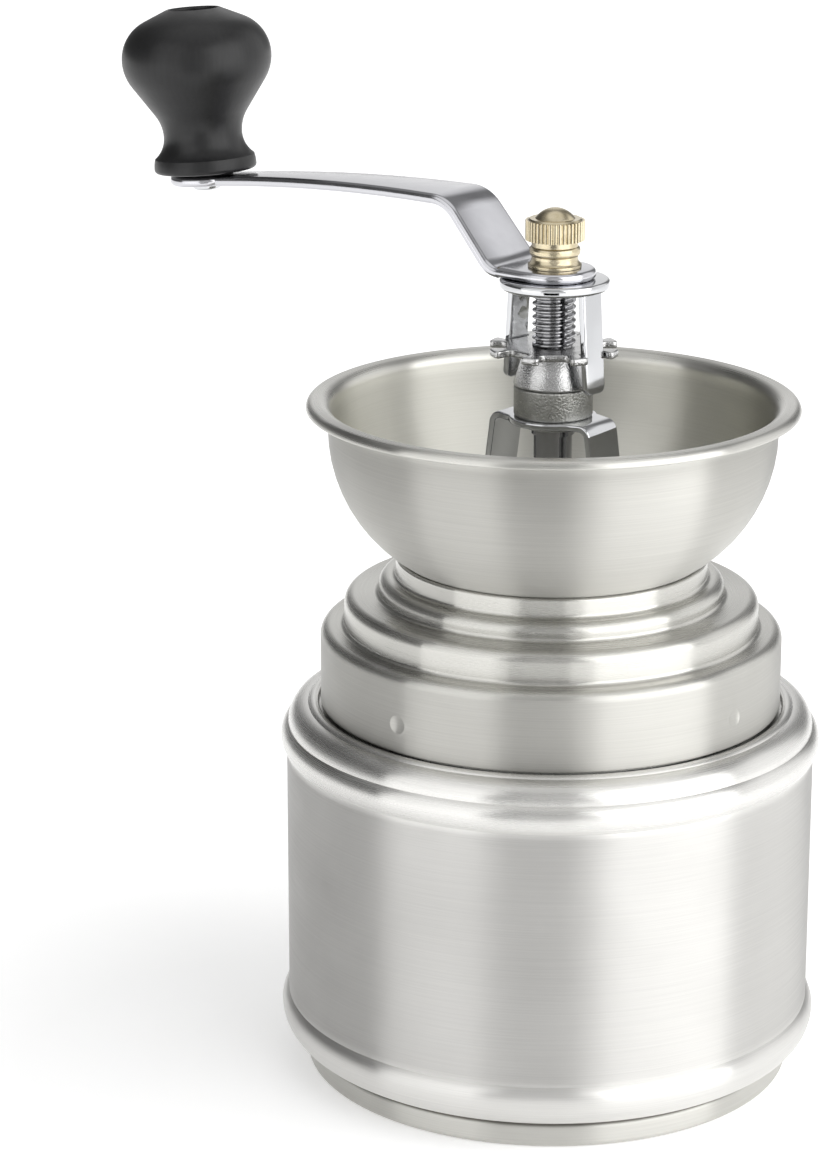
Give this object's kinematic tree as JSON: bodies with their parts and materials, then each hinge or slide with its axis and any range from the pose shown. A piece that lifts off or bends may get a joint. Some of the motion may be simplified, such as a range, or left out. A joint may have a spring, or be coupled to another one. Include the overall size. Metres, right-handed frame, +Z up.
{
  "type": "hand crank coffee grinder",
  "caption": "Hand crank coffee grinder: steel jar with a stepped collar, open hopper bowl, bridge, notched setting nut, cranked arm with a wooden knob and conical burrs inside.",
  "frame": {"origin": "centre of the base's flat underside", "axes": "+Z up along the shaft; the crank arm points along -X at rest"},
  "size_m": [0.1497, 0.1006, 0.1913],
  "materials": {
    "satin_steel": "satin stainless steel, brushed round",
    "inner_steel": "plain zinc plated steel",
    "spring_steel": "spring wire",
    "burr_iron": "cast, machined teeth",
    "chrome": "bright chrome plate",
    "shaft_steel": "plated, rolled thread",
    "cast_chrome": "chrome on a rough casting",
    "cast_bush": "dull plated casting",
    "brass": "turned brass, knurled band",
    "black_wood": "turned wood, black satin lacquer",
    "fibre": "thin fibre washer"
  },
  "bodies": {
    "canister": {"canister": "satin_steel", "base_pan": "satin_steel"},
    "head": {"stepped_collar": "satin_steel", "locating_ring": "inner_steel", "hopper_bowl": "satin_steel", "guide_plate": "inner_steel", "outer_burr": "burr_iron", "bridge": "chrome", "bridge_bush": "cast_bush", "clamp_bolts": "inner_steel", "lock_washers": "inner_steel"},
    "adjuster": {"adjusting_nut": "cast_chrome"},
    "crank": {"drive_shaft": "shaft_steel", "drive_pin": "inner_steel", "inner_burr": "burr_iron", "spring_washer": "inner_steel", "burr_spring": "spring_steel", "burr_washer": "inner_steel", "burr_nut": "inner_steel", "lock_yoke": "chrome", "crank_arm": "chrome", "knob_pin": "chrome", "knob_washer": "fibre"},
    "cap_nut": {"cap_nut": "brass"},
    "knob": {"knob": "black_wood"}
  },
  "joints": [
    {"name": "head_lift", "type": "slide", "parent": "canister", "child": "head", "axis": [0, 0, 1], "range_m": [0, 0.08]},
    {"name": "crank_turn", "type": "hinge", "parent": "head", "child": "adjuster", "pos_m": [0, 0, 0.13], "axis": [0, 0, 1], "continuous": true},
    {"name": "grind_adjust", "type": "slide", "parent": "adjuster", "child": "crank", "axis": [0, 0, 1], "range_m": [0, 0.001], "stiffness_N_per_m": 2500, "springref_m": -0.002, "deforming": ["burr_spring"]},
    {"name": "cap_unscrew", "type": "slide", "parent": "crank", "child": "cap_nut", "axis": [0, 0, 1], "range_m": [0, 0.012]},
    {"name": "knob_spin", "type": "hinge", "parent": "crank", "child": "knob", "pos_m": [-0.08319, 0, 0.15945], "axis": [-0.0872, 0, 0.9962], "continuous": true}
  ]
}
